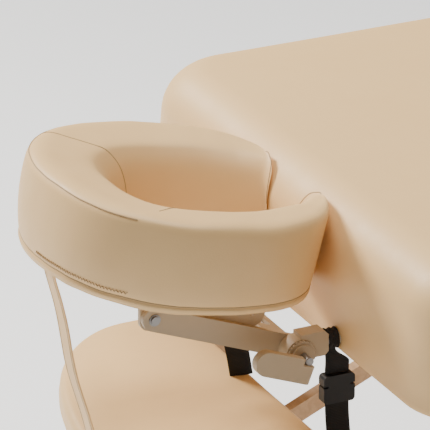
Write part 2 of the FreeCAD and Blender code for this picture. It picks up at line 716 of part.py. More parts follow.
def leg_shapes(section, y0, turn):
    """Return the nodes of one section's legs and braces."""
    shapes = {
        "leg_far": leg(y0),
        "leg_near": mirror_y(leg(y0)),
        "leg_crossbar": leg_crossbar(y0),
        "leg_knobs": leg_knobs(y0),
        "leg_studs": leg_fittings(y0),
        "brace_uppers": sides(brace_upper()),
        "brace_lowers": sides(brace_lower()),
        "extension_far": leg_extension(y0),
        "extension_near": mirror_y(leg_extension(y0)),
        "rubber_foot_far": rubber_foot(y0),
        "rubber_foot_near": mirror_y(rubber_foot(y0)),
    }
    swap = {"far": "near", "near": "far"}
    placed = {}
    for name, shape in shapes.items():
        stem, _, side = name.rpartition("_")
        if turn and side in swap:
            name = stem + "_" + swap[side]
        placed[section + "_" + name] = to_foot(shape) if turn else shape
    return placed


def cradle_shapes():
    """Return the nodes of the face cradle and the arm shelf."""
    return {
        "cradle_poles": sides(pole()),
        "hub_brackets": sides(hub_bracket()),
        "toothed_discs": sides(toothed_disc()),
        "clamp_bolts": sides(clamp_bolt()),
        "cam_lever_near": mirror_y(cam_lever()),
        "cam_lever_far": cam_lever(),
        "link_bars": sides(link_bar()),
        "link_crossbar": link_crossbar(),
        "platform_screws": sides(platform_screw()),
        "cradle_platform": platform(),
        "face_cushion": face_cushion(),
        "arm_straps": sides(arm_strap()),
        "strap_buckles": sides(strap_buckle()),
        "arm_shelf_pad": arm_pad(),
        "arm_shelf_board": arm_board(),
        "front_strap": front_strap(),
    }


def place(shape):
    """Return the shape moved from the table frame to the kept frame."""
    moved = shape.copy()
    moved.translate(SHIFT)
    return moved


def main():
    """Write one STEP file for each node."""
    os.makedirs("parts", exist_ok=True)
    shapes = {}
    shapes.update(head_shapes())
    shapes.update(foot_shapes())
    shapes.update(leg_shapes("head", HEAD_LEG_Y, False))
    shapes.update(leg_shapes("foot", FOOT_LEG_Y, True))
    shapes.update(cradle_shapes())
    for name, shape in shapes.items():
        place(shape).exportStep("parts/" + name + ".step")
    print(len(shapes), "nodes")


main()
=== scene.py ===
"""Looks of a portable massage table: upholstery, face cradle, arm shelf, straps and folding wooden legs."""
import bmesh
import bpy
import enum
import json
import logging
import math
from collections.abc import Iterable, Sequence
from dataclasses import dataclass, field
from mathutils import Matrix, Vector, noise


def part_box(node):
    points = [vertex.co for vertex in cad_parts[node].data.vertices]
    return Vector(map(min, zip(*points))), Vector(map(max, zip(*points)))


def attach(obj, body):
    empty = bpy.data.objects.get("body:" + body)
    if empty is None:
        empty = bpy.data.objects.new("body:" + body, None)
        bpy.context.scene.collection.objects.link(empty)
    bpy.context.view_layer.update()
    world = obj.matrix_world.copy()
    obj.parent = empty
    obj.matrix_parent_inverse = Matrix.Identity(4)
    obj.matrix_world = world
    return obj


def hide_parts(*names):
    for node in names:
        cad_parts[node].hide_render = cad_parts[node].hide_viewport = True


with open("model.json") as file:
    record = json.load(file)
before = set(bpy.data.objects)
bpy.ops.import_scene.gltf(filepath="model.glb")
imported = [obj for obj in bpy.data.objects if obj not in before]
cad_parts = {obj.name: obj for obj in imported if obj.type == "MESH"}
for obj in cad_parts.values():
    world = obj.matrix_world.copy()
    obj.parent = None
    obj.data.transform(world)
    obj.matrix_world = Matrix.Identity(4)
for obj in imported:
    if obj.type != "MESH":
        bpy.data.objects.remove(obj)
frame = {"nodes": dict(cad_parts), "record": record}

LOG = logging.getLogger("massage_table")

HEAD_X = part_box("head_pad")[0].x
TOP_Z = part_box("head_pad")[1].z
TABLE = Vector((HEAD_X, 0.0, TOP_Z))
Point = tuple[float, float]
Colour = tuple[float, float, float]


class Grain(enum.Enum):
    """The way that the fibres of a wooden piece run."""

    LENGTHWAYS = (1.0, 14.0, 14.0)
    CROSSWAYS = (14.0, 1.0, 14.0)
    UPRIGHT = (14.0, 14.0, 1.0)


class Side(enum.Enum):
    """The long side of the table that a piece is on."""

    NEAR = -1
    FAR = 1


def place(x: float, y: float, z: float) -> Vector:
    """Turn a point measured from the middle of the head end's top edge into the frame's metres."""
    return TABLE + Vector((x, y, z))


# Shader building


@dataclass(frozen=True)
class Signal:
    """A value or colour that flows between shader nodes, with the usual arithmetic on values."""

    shader: "Shader"
    socket: bpy.types.NodeSocket

    def math(self, operation: str, first: object, second: object) -> "Signal":
        """Return the result of one Math node."""
        return self.shader.node("ShaderNodeMath", {"operation": operation}, {0: first, 1: second})

    def __add__(self, other: object) -> "Signal":
        """Add a value."""
        return self.math("ADD", self, other)

    def __radd__(self, other: object) -> "Signal":
        """Add to a number."""
        return self.math("ADD", other, self)

    def __sub__(self, other: object) -> "Signal":
        """Take a value away."""
        return self.math("SUBTRACT", self, other)

    def __rsub__(self, other: object) -> "Signal":
        """Take this from a number."""
        return self.math("SUBTRACT", other, self)

    def __mul__(self, other: object) -> "Signal":
        """Multiply by a value."""
        return self.math("MULTIPLY", self, other)

    def __rmul__(self, other: object) -> "Signal":
        """Multiply a number by this."""
        return self.math("MULTIPLY", other, self)

    def sine(self) -> "Signal":
        """Return the sine."""
        return self.math("SINE", self, 0.0)

    def bigger(self, other: object) -> "Signal":
        """Return the larger of the two values."""
        return self.math("MAXIMUM", self, other)


class Shader:
    """One procedural material, built node by node."""

    def __init__(self, name: str) -> None:
        """Start an empty material.

        Args:
            name: The material's name.
        """
        self.material = bpy.data.materials.new(name)
        self.material.use_nodes = True
        self.tree = self.material.node_tree
        self.tree.nodes.clear()
        self.coords = self.node("ShaderNodeTexCoord", {}, {}, "Object")

    def node(self, kind: str, settings: dict[str, object], values: dict[int | str, object],
             output: int | str = 0) -> Signal:
        """Add one node.

        Args:
            kind: The node's type.
            settings: Properties, which are set first; "stops" fills a colour ramp.
            values: What each input socket holds, a number, a tuple or another node's signal.
            output: The output socket to return.

        Returns:
            The signal of the chosen output.
        """
        made = self.tree.nodes.new(kind)
        for key, value in settings.items():
            if key == "stops":
                for index, (at, colour) in enumerate(value):
                    element = made.color_ramp.elements[index] if index < 2 else made.color_ramp.elements.new(at)
                    element.position = at
                    element.color = (*colour, 1.0)
            else:
                setattr(made, key, value)
        for key, value in values.items():
            if isinstance(value, Signal):
                self.tree.links.new(value.socket, made.inputs[key])
            else:
                made.inputs[key].default_value = value
        return Signal(self, made.outputs[output])

    def stretched(self, scale: Colour) -> Signal:
        """Return the object's coordinates stretched along each axis."""
        return self.node("ShaderNodeMapping", {}, {"Vector": self.coords, "Scale": scale})

    def noise(self, scale: float, detail: float = 3.0, vector: Signal | None = None) -> Signal:
        """Return a cloudy value around a half."""
        return self.node("ShaderNodeTexNoise", {}, {"Vector": vector or self.coords, "Scale": scale,
                                                    "Detail": detail}, "Fac")

    def cells(self, scale: float, vector: Signal | None = None) -> Signal:
        """Return the distance to the nearest of many scattered points."""
        return self.node("ShaderNodeTexVoronoi", {}, {"Vector": vector or self.coords, "Scale": scale},
                         "Distance")

    def axis(self, letter: str, vector: Signal | None = None) -> Signal:
        """Return one coordinate."""
        return self.node("ShaderNodeSeparateXYZ", {}, {0: vector or self.coords}, letter)

    def mix(self, factor: Signal | float, low: object, high: object) -> Signal:
        """Blend two colours.

        Args:
            factor: 0 for the low colour and 1 for the high one.
            low: The first colour, a tuple or a signal.
            high: The second colour, a tuple or a signal.

        Returns:
            The blended colour.
        """
        pair = {0: factor, 6: low if isinstance(low, Signal) else (*low, 1.0),
                7: high if isinstance(high, Signal) else (*high, 1.0)}
        return self.node("ShaderNodeMix", {"data_type": "RGBA"}, pair, 2)

    def bump(self, height: Signal, strength: float, distance: float) -> Signal:
        """Return a normal roughened by a height."""
        return self.node("ShaderNodeBump", {}, {"Height": height, "Strength": strength, "Distance": distance},
                         "Normal")

    def finish(self, colour: object, roughness: object, normal: Signal | None = None, metallic: float = 0.0,
               **fixed: object) -> bpy.types.Material:
        """Close the material with one surface shader.

        Args:
            colour: The base colour, a tuple or a signal.
            roughness: The roughness, a number or a signal.
            normal: The bumped normal, if any.
            metallic: How metallic the surface is.
            fixed: Other inputs that stay the same all over, with underscores for spaces.

        Returns:
            The finished material.
        """
        values: dict[int | str, object] = {
            "Base Color": colour if isinstance(colour, Signal) else (*colour, 1.0),
            "Roughness": roughness, "Metallic": metallic}
        if normal:
            values["Normal"] = normal
        values.update({key.replace("_", " "): value for key, value in fixed.items()})
        surface = self.node("ShaderNodeBsdfPrincipled", {}, values, "BSDF")
        output = self.tree.nodes.new("ShaderNodeOutputMaterial")
        self.tree.links.new(surface.socket, output.inputs["Surface"])
        return self.material


@dataclass(frozen=True)
class Leather:
    """Smooth synthetic leather: pebbled grain, faint clouding and a satin sheen."""

    name: str = "cream_leather"
    colour: Colour = (0.90, 0.60, 0.285)
    deep: Colour = (0.81, 0.51, 0.215)
    grain: float = 620.0

    def build(self) -> bpy.types.Material:
        """Build the material.

        Returns:
            The finished material.
        """
        shader = Shader(self.name)
        pebbles = shader.cells(self.grain)
        creases = shader.noise(self.grain * 0.35, 4.0)
        cloud = shader.noise(5.0, 3.0)
        patch = shader.noise(38.0, 2.0)
        tint = shader.mix(cloud * 0.7 + patch * 0.3, self.colour, self.deep)
        pores = shader.mix((0.25 - pebbles).bigger(0.0) * 0.5, tint, self.deep)
        rough = 0.40 + patch * 0.12 + creases * 0.08
        normal = shader.bump(pebbles * 0.6 + creases * 0.6, 0.22, 0.0005)
        return shader.finish(pores, rough, normal, Specular_IOR_Level=0.45)


@dataclass(frozen=True)
class Webbing:
    """Woven strap: ribs across the strap and fine yarns."""

    name: str = "black_webbing"
    colour: Colour = (0.003, 0.0026, 0.0024)
    worn: Colour = (0.016, 0.013, 0.011)

    def build(self) -> bpy.types.Material:
        """Build the material.

        Returns:
            The finished material.
        """
        shader = Shader(self.name)
        rib = (shader.axis("Z") * 3600.0).sine()
        yarn = (shader.axis("X") * 5200.0 + shader.axis("Z") * 1800.0).sine()
        weave = rib * 0.5 + yarn * 0.3
        fuzz = shader.noise(900.0, 3.0)
        tint = shader.mix(fuzz * 0.6 + weave * 0.15 + 0.1, self.colour, self.worn)
        normal = shader.bump(weave * 0.5 + fuzz * 0.4, 0.6, 0.0006)
        return shader.finish(tint, 0.78 + fuzz * 0.12, normal)


@dataclass(frozen=True)
class Nylon:
    """Moulded nylon or powder coat: fine sparkle texture, faint flow marks and rubbed patches."""

    name: str
    colour: Colour
    rubbed: Colour
    rough: float = 0.46
    grain: float = 1300.0

    def build(self) -> bpy.types.Material:
        """Build the material.

        Returns:
            The finished material.
        """
        shader = Shader(self.name)
        texture = shader.noise(self.grain, 2.0)
        flow = shader.noise(22.0, 4.0)
        scuffs = shader.noise(160.0, 6.0)
        tint = shader.mix(flow * 0.55 + scuffs * 0.25, self.colour, self.rubbed)
        normal = shader.bump(texture * 0.7 + scuffs * 0.3, 0.25, 0.0004)
        return shader.finish(tint, self.rough + scuffs * 0.12, normal)


@dataclass(frozen=True)
class Timber:
    """Lacquered beech: long fibres, growth rings and short dark flecks."""

    name: str
    grain: Grain
    pale: Colour = (0.62, 0.40, 0.215)
    dark: Colour = (0.43, 0.245, 0.115)
    rough: float = 0.34

    def build(self) -> bpy.types.Material:
        """Build the material.

        Returns:
            The finished material.
        """
        shader = Shader(self.name)
        along = shader.stretched(self.grain.value)
        fibres = shader.noise(42.0, 6.0, along)
        rings = (shader.noise(2.6, 3.0, along) * 46.0).sine()
        flecks = (shader.noise(120.0, 2.0, along) - 0.62).bigger(0.0) * 4.0
        tone = fibres * 0.55 + rings * 0.16 + flecks * 0.5 + 0.04
        tint = shader.mix(tone, self.pale, self.dark)
        normal = shader.bump(fibres * 0.6 + flecks * 0.5, 0.18, 0.0004)
        return shader.finish(tint, self.rough + fibres * 0.16, normal, Coat_Weight=0.12)


@dataclass(frozen=True)
class Metal:
    """Plated or anodised metal with fine brushing and faint handling marks."""

    name: str
    colour: Colour
    rough: float

    def build(self) -> bpy.types.Material:
        """Build the material.

        Returns:
            The finished material.
        """
        shader = Shader(self.name)
        brushed = shader.noise(900.0, 2.0, shader.stretched((0.05, 1.0, 1.0)))
        marks = shader.noise(70.0, 4.0)
        dull = tuple(0.72 * part for part in self.colour)
        tint = shader.mix(marks * 0.5, self.colour, dull)
        normal = shader.bump(brushed, 0.12, 0.0002)
        return shader.finish(tint, self.rough + marks * 0.16 + brushed * 0.06, normal, 1.0)


@dataclass(frozen=True)
class Rubber:
    """Dark moulded rubber, dusty where it meets the floor."""

    name: str = "rubber"
    colour: Colour = (0.020, 0.019, 0.018)
    dust: Colour = (0.11, 0.10, 0.09)

    def build(self) -> bpy.types.Material:
        """Build the material.

        Returns:
            The finished material.
        """
        shader = Shader(self.name)
        grit = shader.noise(420.0, 5.0)
        patch = shader.noise(45.0, 4.0)
        low = (0.012 - shader.axis("Z")).bigger(0.0) * 60.0
        tint = shader.mix(patch * 0.25 + low * grit, self.colour, self.dust)
        return shader.finish(tint, 0.72 + grit * 0.16, shader.bump(grit, 0.4, 0.0004))


class Finishes:
    """Every material, made once."""

    def __init__(self) -> None:
        """Build the materials."""
        self.leather = Leather().build()
        self.thread = Nylon("seam_thread", (0.40, 0.26, 0.13), (0.50, 0.34, 0.18), 0.7).build()
        self.webbing = Webbing().build()
        self.nylon = Nylon("cream_plastic", (0.47, 0.345, 0.205), (0.54, 0.41, 0.26)).build()
        self.enamel = Nylon("enamelled_metal", (0.42, 0.32, 0.20), (0.48, 0.37, 0.245), 0.42, 900.0).build()
        self.black = Nylon("black_plastic", (0.003, 0.0028, 0.0027), (0.010, 0.009, 0.0085), 0.5).build()
        self.rubber = Rubber().build()
        self.steel = Metal("steel", (0.36, 0.35, 0.34), 0.34).build()
        self.aluminium = Metal("aluminium", (0.74, 0.74, 0.75), 0.32).build()
        self.plywood = Timber("plywood", Grain.LENGTHWAYS, (0.66, 0.48, 0.29), (0.53, 0.36, 0.20), 0.5).build()
        self.beech = {grain: Timber("beech_" + grain.name.lower(), grain).build() for grain in Grain}

    def for_node(self, node: str, slot: str) -> bpy.types.Material:
        """Return the material of a CAD node.

        Args:
            node: The node's name.
            slot: The record's material slot.

        Returns:
            The material, with timber grain that runs along the piece.
        """
        if slot == "beech":
            low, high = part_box(node)
            size = list(high - low)
            longest = size.index(max(size))
            return self.beech[(Grain.LENGTHWAYS, Grain.CROSSWAYS, Grain.UPRIGHT)[longest]]
        return {"cream_leather": self.leather, "plywood": self.plywood, "steel": self.steel,
                "aluminium": self.aluminium, "cream_plastic": self.nylon, "black_plastic": self.black,
                "black_webbing": self.webbing, "rubber": self.rubber, "enamelled_metal": self.enamel}[slot]


# Making and finishing pieces


def deselect() -> None:
    """Leave edit mode and select nothing."""
    if bpy.context.object and bpy.context.object.mode != "OBJECT":
        bpy.ops.object.mode_set(mode="OBJECT")
    bpy.ops.object.select_all(action="DESELECT")


def activate(piece: bpy.types.Object) -> None:
    """Select one piece and make it active.

    Args:
        piece: The piece.
    """
    deselect()
    piece.select_set(True)
    bpy.context.view_layer.objects.active = piece


def from_mesh(name: str, vertices: Sequence[Vector], faces: Sequence[Sequence[int]]) -> bpy.types.Object:
    """Make a piece from points and faces, with its faces turned outwards.

    Args:
        name: The piece's name.
        vertices: The points, in the frame's metres.
        faces: The corners of each face.

    Returns:
        The piece, at the origin.
    """
    mesh = bpy.data.meshes.new(name)
    mesh.from_pydata([tuple(point) for point in vertices], [], [tuple(face) for face in faces])
    shape = bmesh.new()
    shape.from_mesh(mesh)
    bmesh.ops.remove_doubles(shape, verts=shape.verts, dist=1e-6)
    bmesh.ops.recalc_face_normals(shape, faces=shape.faces)
    shape.to_mesh(mesh)
    shape.free()
    piece = bpy.data.objects.new(name, mesh)
    bpy.context.scene.collection.objects.link(piece)
    return piece


def loft(name: str, rings: Sequence[Sequence[Vector]], looped: bool = False) -> bpy.types.Object:
    """Skin a run of closed rings that have the same number of points.

    Args:
        name: The piece's name.
        rings: The rings, in order.
        looped: True where the last ring joins the first; otherwise both ends are closed with a face.

    Returns:
        The piece.
    """
    count = len(rings[0])
    vertices = [point for ring in rings for point in ring]
    faces: list[list[int]] = []
    spans = len(rings) if looped else len(rings) - 1
    for row in range(spans):
        here, there = row * count, (row + 1) % len(rings) * count
        for step in range(count):
            after = (step + 1) % count
            faces.append([here + step, here + after, there + after, there + step])
    if not looped:
        faces.append(list(range(count))[::-1])
        faces.append([(len(rings) - 1) * count + step for step in range(count)])
    return from_mesh(name, vertices, faces)


def modify(piece: bpy.types.Object, kind: str, **settings: object) -> None:
    """Add one modifier to a piece and apply it.

    Args:
        piece: The piece.
        kind: The modifier's type.
        settings: The modifier's properties.
    """
    activate(piece)
    modifier = piece.modifiers.new(kind.title(), kind)
    for key, value in settings.items():
        setattr(modifier, key, value)
    bpy.ops.object.modifier_apply(modifier=modifier.name)


def smooth(piece: bpy.types.Object, angle: float = 40.0) -> None:
    """Shade a piece smooth, but for its sharp edges.

    Args:
        piece: The piece.
        angle: The angle in degrees past which an edge stays sharp.
    """
    activate(piece)
    bpy.ops.object.shade_smooth_by_angle(angle=math.radians(angle))
    deselect()


def dress(piece: bpy.types.Object, material: bpy.types.Material, body: str,
          stands_for: Iterable[str] = ()) -> bpy.types.Object:
    """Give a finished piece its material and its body.

    Args:
        piece: The piece.
        material: Its material.
        body: The CAD body that it rides on.
        stands_for: The CAD nodes that it replaces.

    Returns:
        The same piece.
    """
    piece.data.materials.clear()
    piece.data.materials.append(material)
    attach(piece, body)
    if names := list(stands_for):
        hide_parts(*names)
    triangles = sum(len(face.vertices) - 2 for face in piece.data.polygons)
    LOG.info("%s: %d triangles on %s", piece.name, triangles, body)
    return piece


def tube(name: str, path: Sequence[Vector], radius: float, sides: int = 8,
         closed: bool = False) -> bpy.types.Object:
    """Make a round tube along a path of close points.

    Args:
        name: The piece's name.
        path: The middle line.
        radius: The tube's radius.
        sides: How many faces go round it.
        closed: True where the path joins up.

    Returns:
        The piece.
    """
    rings = []
    total = len(path)
    for index, point in enumerate(path):
        before = path[index - 1] if index or closed else point
        after = path[(index + 1) % total] if index + 1 < total or closed else point
        run = (after - before).normalized()
        side = run.cross(Vector((0.0, 0.0, 1.0)))
        side = side.normalized() if side.length > 1e-3 else run.cross(Vector((0.0, 1.0, 0.0))).normalized()
        up = side.cross(run)
        ring = []
        for step in range(sides):
            turn = 2.0 * math.pi * step / sides
            ring.append(point + radius * (math.cos(turn) * side + math.sin(turn) * up))
        rings.append(ring)
    return loft(name, rings, closed)


# Upholstered table sections


@dataclass(frozen=True)
class RoundedPlan:
    """A rectangle in plan with its own corner radius at each end."""

    x0: float
    x1: float
    half: float
    head_radius: float
    tail_radius: float
    arc_steps: int = 14
    run_steps: int = 26

    def ring(self, head: float, tail: float, side: float, z: float) -> list[Vector]:
        """Return the outline inset from each edge.

        Args:
            head: Inset from the x0 edge.
            tail: Inset from the x1 edge.
            side: Inset from the long edges.
            z: The ring's height.

        Returns:
            The outline's points, in order.
        """
        x0, x1, half = self.x0 + head, self.x1 - tail, self.half - side
        radii = (max(self.tail_radius - tail, 0.001), max(self.head_radius - side, 0.001))
        corners = [(x1, half, radii[0], 0.0), (x0, half, radii[1], 90.0),
                   (x0, -half, radii[1], 180.0), (x1, -half, radii[0], 270.0)]
        points: list[Vector] = []
        for x, y, radius, start in corners:
            centre = Vector((x - math.copysign(radius, x - (x0 + x1) / 2), y - math.copysign(radius, y), z))
            arc = []
            for step in range(self.arc_steps + 1):
                turn = math.radians(start + 90.0 * step / self.arc_steps)
                arc.append(centre + radius * Vector((math.cos(turn), math.sin(turn), 0.0)))
            if points:
                points += self.between(points[-1], arc[0])
            points += arc
        points += self.between(points[-1], points[0])
        return points

    def between(self, start: Vector, end: Vector) -> list[Vector]:
        """Return the evenly spaced points strictly between two corners."""
        return [start.lerp(end, step / self.run_steps) for step in range(1, self.run_steps)]


@dataclass
class Upholstery:
    """The stretched leather over one section's pad and rails."""

    section: str
    towards: int
    depth: float = 0.145
    edge: float = 0.050
    hinge_edge: float = 0.007
    skin: float = 0.0042
    crown: float = 0.0022
    bulge: float = 0.0022
    wander: float = 0.0009
    corner: float = 0.082
    hinge_corner: float = 0.006
    deck: float = 0.0582
    turned_in: float = 0.30
    hem: float = 0.011
    flat: float = 0.27
    edge_steps: int = 12
    wall_steps: int = 6

    def build(self, finishes: Finishes) -> None:
        """Build and dress the section's cover.

        Args:
            finishes: The materials.
        """
        low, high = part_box(self.section + "_pad")
        corners = (self.corner, self.hinge_corner) if self.towards < 0 else (self.hinge_corner, self.corner)
        plan = RoundedPlan(low.x, high.x, high.y, *corners)
        rings = [self.inset(plan, amount, hinge, z) for amount, hinge, z in self.profile()]
        cover = loft(self.section + "_cover", [[self.wandered(point) for point in ring] for ring in rings])
        smooth(cover, 50.0)
        dress(cover, finishes.leather, self.section + "_half",
              [self.section + "_pad", self.section + "_side_wrap"])

    def inset(self, plan: RoundedPlan, amount: float, hinge: float, z: float) -> list[Vector]:
        """Return one ring, which is mirrored on the foot section, as its hinge is at its lower X.

        Args:
            plan: The section's outline.
            amount: The inset from the three free edges.
            hinge: The inset from the hinge's edge.
            z: The ring's height above the table's top.

        Returns:
            The ring's points.
        """
        if self.towards < 0:
            return plan.ring(amount, hinge, amount, TOP_Z + z)
        turned = RoundedPlan(-plan.x1, -plan.x0, plan.half, plan.tail_radius, plan.head_radius)
        return [Vector((-point.x, point.y, point.z)) for point in turned.ring(amount, hinge, amount, TOP_Z + z)]

    def profile(self) -> list[tuple[float, float, float]]:
        """Work out the cover's section, from its inner face over the deck, round the hem, to the top's middle.

        Returns:
            The inset, the hinge's inset and the height of each ring.
        """
        low = -self.depth
        rows = [(self.turned_in, self.turned_in, -self.deck), (self.skin, self.skin, -self.deck),
                (self.skin, self.skin, low + 0.0014), (0.0034, 0.0026, low + 0.0004),
                (0.0010, 0.0008, low + 0.0014), (-0.0006, 0.0, low + 0.0045), (-0.0004, 0.0, low + 0.008),
                (0.0005, 0.0, low + self.hem)]
        for step in range(1, self.wall_steps):
            share = step / self.wall_steps
            swell = -self.bulge * math.sin(math.pi * share)
            rows.append((swell, 0.0, low + self.hem + share * (self.depth - self.edge - self.hem)))
        for step in range(self.edge_steps + 1):
            turn = math.pi / 2 * step / self.edge_steps
            bend = 1.0 - math.cos(turn)
            rows.append((self.edge * bend, self.hinge_edge * bend, -self.edge * (1.0 - math.sin(turn))))
        for share in (0.08, 0.2, 0.36, 0.55, 0.78, 0.96):
            inset = share * self.flat
            lift = self.crown * math.sin(share * math.pi / 2)
            rows.append((self.edge + inset, self.hinge_edge + inset, lift))
        return rows

    def wandered(self, point: Vector) -> Vector:
        """Move a point a little, as stretched leather over foam is never quite flat.

        Args:
            point: A point in the frame.

        Returns:
            The moved point; those near the hem stay where they are.
        """
        if point.z < TOP_Z - self.depth + 0.02:
            return point
        push = self.wander * noise.noise(point * 5.0) + 0.35 * self.wander * noise.noise(point * 17.0)
        return point + Vector((0.0, 0.0, push))


# Face cradle and arm shelf


def curve_through(points: Sequence[Vector], steps: int) -> list[Vector]:
    """Return points along a smooth curve through the given ones.

    Args:
        points: The points that the curve passes through, in order.
        steps: How many points to make between each pair.

    Returns:
        The curve's points, with both ends.
    """
    line: list[Vector] = []
    last = len(points) - 1
    for index in range(last):
        p0, p1 = points[max(index - 1, 0)], points[index]
        p2, p3 = points[index + 1], points[min(index + 2, last)]
        for step in range(steps):
            t = step / steps
            line.append(0.5 * (2.0 * p1 + (p2 - p0) * t + (2.0 * p0 - 5.0 * p1 + 4.0 * p2 - p3) * t ** 2
                               + (3.0 * p1 - p0 - 3.0 * p2 + p3) * t ** 3))
    line.append(points[-1])
    return line


def share_along(line: Sequence[Vector], share: float) -> Vector:
    """Find the point at a share of a line's length.

    Args:
        line: The line's points.
        share: From 0 at its start to 1 at its end.

    Returns:
        The point.
    """
    total = sum((after - before).length for before, after in zip(line, line[1:]))
    left = max(0.0, min(1.0, share)) * total
    for before, after in zip(line, line[1:]):
        length = (after - before).length
        if left <= length:
            return before.lerp(after, left / length if length else 0.0)
        left -= length
    return line[-1].copy()


@dataclass
class FaceCushion:
    """The padded horseshoe that holds the face, with its funnel top, welt, seams and stitches.

    Each row of the section gives a share of the way from the inner to the outer edge, metres added to that,
    and a height above the underside.
    """

    middle: float = -0.116
    low: float = -0.073
    tall: float = 0.088
    tilt: float = 7.5
    rise: float = 0.036
    front: float = 0.154
    rear: float = 0.116
    half: float = 0.158
    front_squareness: float = 0.88
    rear_squareness: float = 0.80
    tip_angle: float = 20.0
    lean: float = 0.016
    cap: float = 0.018
    table_edge: float = 0.050
    clear: float = 0.001
    hold: float = 0.82
    softness: float = 0.009
    full_width: float = 0.080
    wrinkle: float = 0.0011
    stations: int = 150
    smoothing: int = 3
    cap_steps: int = 6
    tip_reach: float = 0.9
    tip_spread: float = 0.35
    inner: tuple[Point, ...] = ((-0.176, 0.0), (-0.174, -0.030), (-0.163, -0.054), (-0.140, -0.069),
                                (-0.104, -0.073), (-0.066, -0.066), (-0.034, -0.050), (-0.010, -0.036),
                                (0.006, -0.030))
    section: tuple[tuple[float, float, float], ...] = (
        (0.5, 0.0, 0.0), (0.0, 0.010, 0.0), (0.0, 0.002, 0.004), (0.0, -0.001, 0.014),
        (0.0, -0.0015, 0.028), (0.0, 0.0005, 0.043), (0.0, 0.0045, 0.057), (0.0, 0.0105, 0.069),
        (0.0, 0.0195, 0.0785), (0.0, 0.031, 0.0850), (0.62, 0.0, 0.0885), (1.0, -0.020, 0.0900),
        (1.0, -0.0105, 0.0893), (1.0, -0.0045, 0.0868), (1.0, -0.0012, 0.0825), (1.0, 0.0006, 0.076),
        (1.0, 0.0024, 0.060), (1.0, 0.0028, 0.042), (1.0, 0.0016, 0.025), (1.0, -0.0006, 0.0125),
        (1.0, -0.0022, 0.0086), (1.0, -0.0010, 0.0055), (1.0, -0.0026, 0.0015), (1.0, -0.007, 0.0))
    inner_line: list[Vector] = field(default_factory=list)
    outer_line: list[Vector] = field(default_factory=list)

    def __post_init__(self) -> None:
        """Work out the inner and outer outlines from the near tip round to the far tip."""
        near = [Vector((x, y, 0.0)) for x, y in reversed(self.inner)]
        far = [Vector((x, -y, 0.0)) for x, y in self.inner[1:]]
        self.inner_line = curve_through(near + far, 12)
        for step in range(241):
            turn = math.radians(self.tip_angle + (360.0 - 2.0 * self.tip_angle) * step / 240)
            back = math.cos(turn) > 0
            reach = self.rear if back else self.front
            square = self.rear_squareness if back else self.front_squareness
            x = self.middle + reach * math.copysign(abs(math.cos(turn)) ** square, math.cos(turn))
            y = -self.half * math.copysign(abs(math.sin(turn)) ** square, math.sin(turn))
            self.outer_line.append(Vector((x, y, 0.0)))

    def tilted(self, point: Vector) -> Vector:
        """Raise a flat-lying point at the forehead and put it into the frame.

        Args:
            point: A point of the cushion as it lies flat.

        Returns:
            The point in the frame.
        """
        pivot = Vector((self.middle, 0.0, 0.0))
        point = point + Vector((0.0, 0.0, point.z * self.rise * (self.middle - point.x) / self.tall))
        turned = Matrix.Rotation(math.radians(self.tilt), 4, "Y") @ (point - pivot)
        return place(*(turned + pivot + Vector((0.0, 0.0, self.low))))

    def outline(self, share: float, squeeze: float = 0.0) -> list[Vector]:
        """Return the closed section at a share of the way round.

        Args:
            share: From 0 at the near tip to 1 at the far tip.
            squeeze: How much the section is drawn in all round, at the rounded tips.

        Returns:
            The section's points, lying flat.
        """
        inside, outside = share_along(self.inner_line, share), share_along(self.outer_line, share)
        across = outside - inside
        width = across.length
        across.normalize()
        points = []
        for part, offset, height in self.section:
            reach = self.reach(part, offset, width)
            reach = min(max(reach, squeeze), width - squeeze) if squeeze else reach
            z = min(max(height, squeeze * 0.8), self.tall - squeeze * 0.8) if squeeze else height
            points.append(inside + across * reach + Vector((0.0, 0.0, z)))
        closed = curve_through(points + [points[0]], self.smoothing)[:-1]
        return [self.leaned(point) for point in closed]

    def reach(self, part: float, offset: float, width: float) -> float:
        """Find how far across the cushion a section's point lies; offsets shrink at the narrow tips.

        Args:
            part: Share of the way across, from the inner side.
            offset: Metres added to that where the cushion is wide.
            width: The cushion's width there.

        Returns:
            The distance from the inner side.
        """
        return part * width + offset * min(1.0, width / self.full_width)

    def leaned(self, point: Vector) -> Vector:
        """Push a point back over the table's rounded edge, more so higher up at the tips.

        Args:
            point: A point of the cushion as it lies flat.

        Returns:
            The moved point.
        """
        near_table = max(0.0, min(1.0, (point.x + 0.070) / 0.070))
        push = self.lean * near_table * (max(point.z, 0.0) / self.tall) ** 1.6
        return point + Vector((push, 0.0, 0.0))

    def tip_rings(self, share: float) -> list[list[Vector]]:
        """Round one tip off with sections that shrink as they go on.

        Args:
            share: 0 for the near tip or 1 for the far tip.

        Returns:
            The sections, from the cushion's end outwards, lying flat.
        """
        back = abs(share - 0.004)
        inside = (share_along(self.inner_line, share) - share_along(self.inner_line, back)).normalized()
        outside = (share_along(self.outer_line, share) - share_along(self.outer_line, back)).normalized()
        aside = (inside + outside).normalized().y
        run = Vector((self.tip_reach, aside * self.tip_spread, 0.0)).normalized()
        rings = []
        for step in range(1, self.cap_steps + 1):
            turn = math.pi / 2 * step / self.cap_steps
            section = self.outline(share, self.cap * (1.0 - math.cos(turn)))
            rings.append([point + run * self.cap * math.sin(turn) for point in section])
        return rings

    def rings(self) -> list[list[Vector]]:
        """Work out every section, with the rounded tips.

        Returns:
            The sections from the near tip to the far one, in the frame.
        """
        body = [self.outline(index / self.stations) for index in range(self.stations + 1)]
        rings = self.tip_rings(0.0)[::-1] + body + self.tip_rings(1.0)
        return [[self.wrinkled(self.tilted(point)) for point in ring] for ring in rings]

